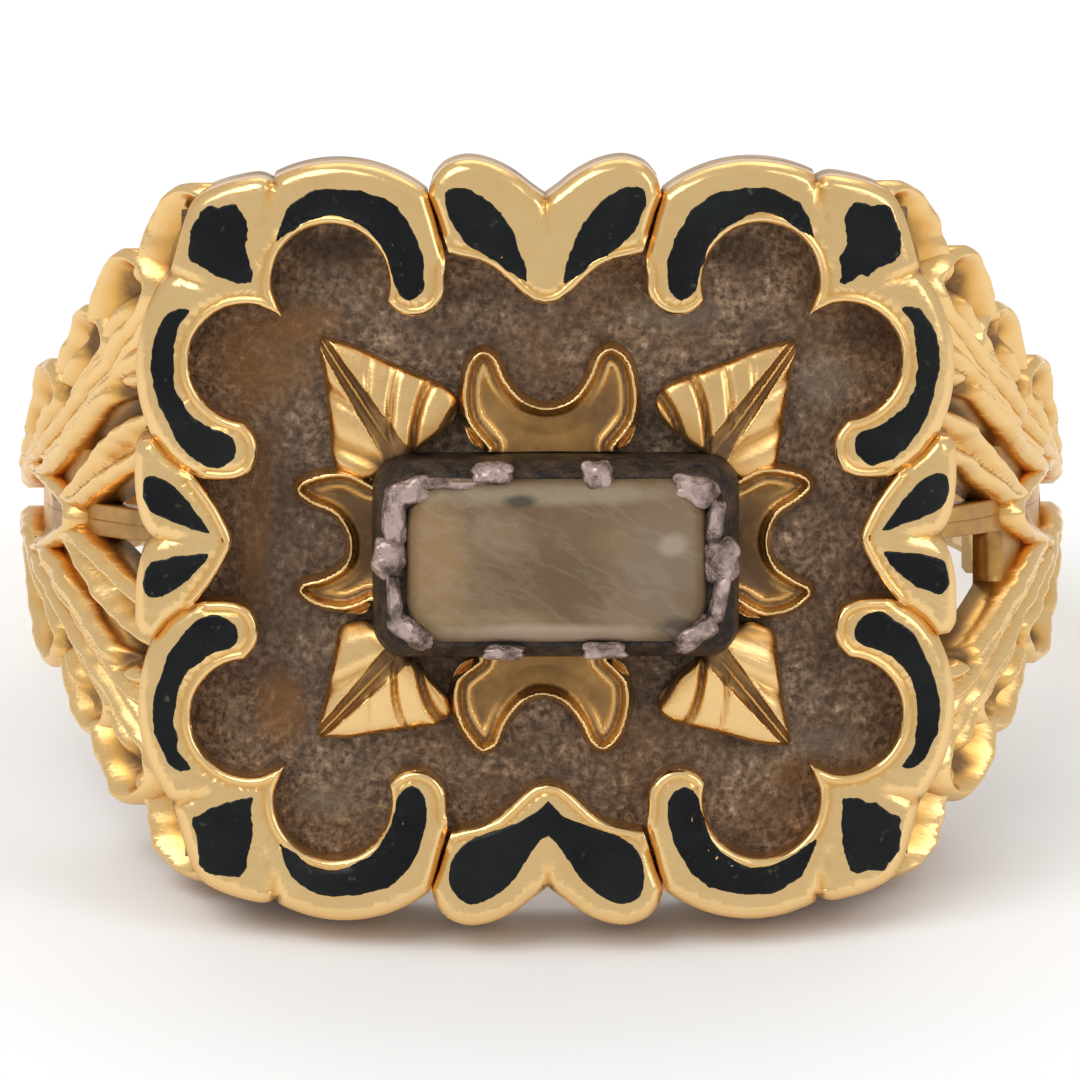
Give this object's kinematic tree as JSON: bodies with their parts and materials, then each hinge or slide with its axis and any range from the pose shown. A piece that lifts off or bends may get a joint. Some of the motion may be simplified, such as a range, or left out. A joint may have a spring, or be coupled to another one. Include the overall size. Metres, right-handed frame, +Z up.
{
  "type": "mourning ring",
  "caption": "Gold mourning ring with a scroll-edged black enamel head, gold leaf rosette round a smoky crystal, and pierced acanthus shoulders",
  "frame": {"origin": "centre of the finger hole", "axes": "X from the wearer's side to side of the head, Y from the head at -Y to the back of the hoop at +Y, Z up from the surface the ring lies on"},
  "size_m": [0.0226, 0.0253, 0.016],
  "materials": {
    "gold": "polished yellow gold, worn, with fine scratches and grime in the recesses",
    "leaf_gold": "deeper yellow gold, carved, brown in the dishes",
    "ground": "matted, mottled grey-brown with rusty and dark patches",
    "silver": "tarnished silver, nearly black in the recesses, pinkish grey and pitted on the claws",
    "crystal": "smoky, frosted and scratched",
    "enamel": "glossy black enamel with worn, ragged edges"
  },
  "bodies": {
    "root": {"ring_body": "gold", "ground_plate": "ground", "collet": "silver", "crystal": "crystal", "leaf_ne": "leaf_gold", "leaf_nw": "leaf_gold", "leaf_se": "leaf_gold", "leaf_sw": "leaf_gold", "petal_top": "leaf_gold", "petal_bottom": "leaf_gold", "petal_left": "leaf_gold", "petal_right": "leaf_gold", "enamel_top_scroll_right": "enamel", "enamel_top_scroll_left": "enamel", "enamel_bottom_scroll_right": "enamel", "enamel_bottom_scroll_left": "enamel", "enamel_side_scroll_ne": "enamel", "enamel_side_scroll_nw": "enamel", "enamel_side_scroll_se": "enamel", "enamel_side_scroll_sw": "enamel", "enamel_fan_ne": "enamel", "enamel_fan_nw": "enamel", "enamel_fan_se": "enamel", "enamel_fan_sw": "enamel", "enamel_bud_ne": "enamel", "enamel_bud_nw": "enamel", "enamel_bud_se": "enamel", "enamel_bud_sw": "enamel", "enamel_heart_right": "enamel", "enamel_heart_left": "enamel", "enamel_heart_bottom": "enamel"}
  },
  "joints": []
}
